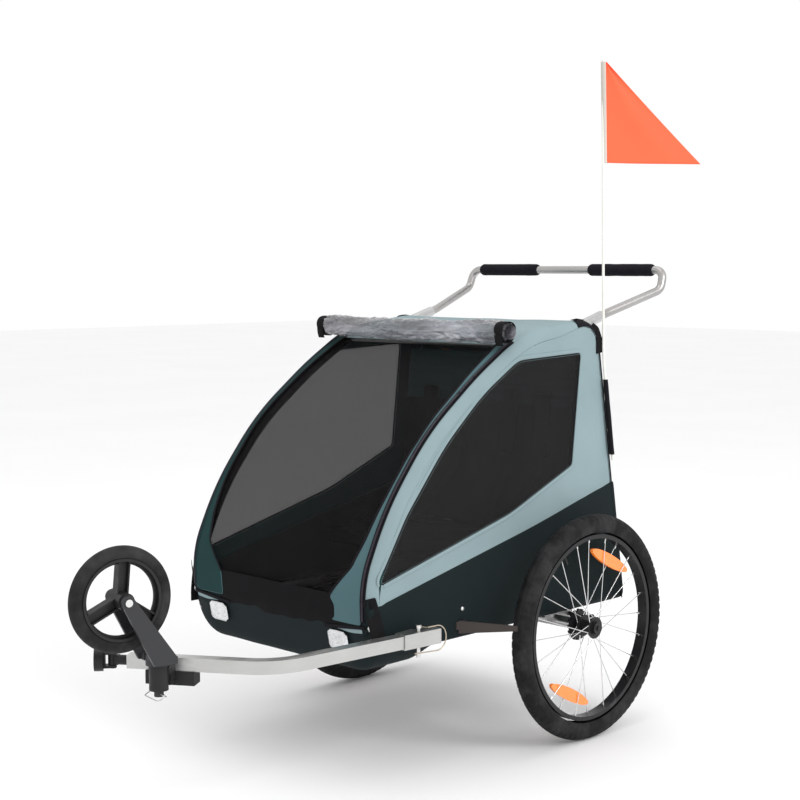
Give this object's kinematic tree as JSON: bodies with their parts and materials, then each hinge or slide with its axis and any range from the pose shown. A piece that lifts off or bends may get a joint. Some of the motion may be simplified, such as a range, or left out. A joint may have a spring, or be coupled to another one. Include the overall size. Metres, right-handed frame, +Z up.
{
  "type": "child bicycle trailer",
  "caption": "Folding two-wheel child trailer with a fabric cabin, side hitch arm, stowed stroller wheel and safety flag.",
  "frame": {"origin": "middle of the bounding box's bottom face, on the ground between the wheels' contact and the hitch end", "axes": "+Z up, -Y forward towards the hitch, +X the trailer's left, where the hitch arm is"},
  "size_m": [0.786, 1.5465, 1.5001],
  "materials": {
    "frame_tube": "satin",
    "bright_tube": "satin",
    "grey_bracket": "satin",
    "bolt_steel": "satin",
    "grip_foam": "matte",
    "coupler_metal": "satin",
    "coupler_black": "satin",
    "fork_grey": "satin",
    "caster_tyre": "matte",
    "caster_plastic": "satin",
    "button_plastic": "satin",
    "brake_metal": "satin",
    "guard_plastic": "satin",
    "tub_fabric": "matte",
    "cabin_fabric": "matte",
    "window_film": "gloss",
    "cover_mesh": "matte",
    "seat_fabric": "matte",
    "webbing": "matte",
    "buckle_plastic": "satin",
    "clear_film": "gloss",
    "reflective": "satin",
    "flap_black": "matte",
    "pole_fibre": "satin",
    "sleeve_fabric": "matte",
    "flag_cloth": "matte",
    "tyre_rubber": "matte",
    "rim_black": "satin",
    "hub_black": "satin",
    "spoke_steel": "polished",
    "reflector_amber": "gloss"
  },
  "bodies": {
    "chassis": {"side_rails": "frame_tube", "base_crossbars": "frame_tube", "axle_tube": "frame_tube", "axle_plates": "grey_bracket", "pivot_plates": "grey_bracket", "pivot_bolts": "bolt_steel", "hitch_receiver": "grey_bracket", "hitch_arm": "bright_tube", "coupler_neck": "coupler_metal", "coupler_pin": "bolt_steel", "caster_bracket": "grey_bracket", "wheel_axles": "bolt_steel", "wheel_guards": "guard_plastic", "tub_footwell": "tub_fabric", "tub_floor": "tub_fabric", "tub_sides": "tub_fabric", "side_panels": "cabin_fabric", "side_windows": "window_film", "front_cover": "cover_mesh", "roof_panel": "cabin_fabric", "rear_panel": "cabin_fabric", "seat_base": "seat_fabric", "seat_back": "seat_fabric", "harness": "webbing", "harness_buckles": "buckle_plastic", "front_reflectors": "reflective", "corner_flaps": "flap_black"},
    "left_wheel": {"tyre_left": "tyre_rubber", "rim_left": "rim_black", "hub_left": "hub_black", "spokes_left": "spoke_steel", "reflectors_left": "reflector_amber"},
    "right_wheel": {"tyre_right": "tyre_rubber", "rim_right": "rim_black", "hub_right": "hub_black", "spokes_right": "spoke_steel", "reflectors_right": "reflector_amber"},
    "front_frame": {"front_hoops": "frame_tube", "hoop_crossbars": "frame_tube", "rain_cover_roll": "clear_film", "roll_straps": "webbing"},
    "rear_frame": {"rear_uprights": "frame_tube", "upright_crossbar": "frame_tube", "flag_sleeve": "sleeve_fabric"},
    "handlebar": {"handlebar_tube": "bright_tube", "handle_grips": "grip_foam"},
    "flag_staff": {"flag_pole": "pole_fibre", "flag": "flag_cloth"},
    "locking_pin": {"hitch_pin": "bolt_steel", "hitch_pin_bail": "bolt_steel"},
    "coupler": {"coupler_head": "coupler_black"},
    "caster_fork": {"caster_fork": "fork_grey", "caster_bolt": "bolt_steel", "caster_clip": "bolt_steel"},
    "caster_wheel": {"caster_tyre": "caster_tyre", "caster_rim": "caster_plastic"},
    "button_left": {"axle_button_left": "button_plastic"},
    "button_right": {"axle_button_right": "button_plastic"},
    "brake": {"parking_brake": "brake_metal"}
  },
  "joints": [
    {"name": "left_wheel_spin", "type": "hinge", "parent": "chassis", "child": "left_wheel", "pos_m": [0.365, 0.40427, 0.25], "axis": [1, 0, 0], "continuous": true},
    {"name": "right_wheel_spin", "type": "hinge", "parent": "chassis", "child": "right_wheel", "pos_m": [-0.365, 0.40427, 0.25], "axis": [1, 0, 0], "continuous": true},
    {"name": "hoop_fold", "type": "hinge", "parent": "chassis", "child": "front_frame", "pos_m": [0, -0.17673, 0.331], "axis": [-1, 0, 0], "range_deg": [0, 38], "deforming": ["side_panels", "side_windows", "front_cover", "roof_panel", "rear_panel", "seat_back", "harness"]},
    {"name": "upright_fold", "type": "hinge", "parent": "chassis", "child": "rear_frame", "pos_m": [0, 0.60727, 0.331], "axis": [1, 0, 0], "range_deg": [0, 80]},
    {"name": "handlebar_slide", "type": "slide", "parent": "front_frame", "child": "handlebar", "axis": [0, 0.9613, 0.2756], "range_m": [0, 0.05]},
    {"name": "flag_pull", "type": "slide", "parent": "rear_frame", "child": "flag_staff", "axis": [0, -0.1624, 0.9867], "range_m": [0, 0.15]},
    {"name": "hitch_pin_pull", "type": "slide", "parent": "chassis", "child": "locking_pin", "axis": [0, 0, 1], "range_m": [0, 0.056]},
    {"name": "coupler_swivel", "type": "hinge", "parent": "chassis", "child": "coupler", "pos_m": [0.03059, -0.6244, 0.303], "axis": [0, 0, 1], "range_deg": [-45, 12]},
    {"name": "caster_swivel", "type": "hinge", "parent": "chassis", "child": "caster_fork", "pos_m": [0.14913, -0.60357, 0.311], "axis": [0, 0, 1], "continuous": true},
    {"name": "caster_spin", "type": "hinge", "parent": "caster_fork", "child": "caster_wheel", "pos_m": [0.13412, -0.67604, 0.441], "axis": [0.9792, -0.2028, 0], "continuous": true},
    {"name": "axle_button_left_press", "type": "slide", "parent": "chassis", "child": "button_left", "axis": [-1, 0, 0], "range_m": [0, 0.003], "stiffness_N_per_m": 800},
    {"name": "axle_button_right_press", "type": "slide", "parent": "chassis", "child": "button_right", "axis": [1, 0, 0], "range_m": [0, 0.003], "stiffness_N_per_m": 800},
    {"name": "parking_brake_press", "type": "hinge", "parent": "chassis", "child": "brake", "pos_m": [0, 0.45327, 0.257], "axis": [-1, 0, 0], "range_deg": [0, 12]}
  ],
  "couplings": [
    {"joint": "upright_fold", "follows": "hoop_fold", "ratio": 2.1053}
  ]
}
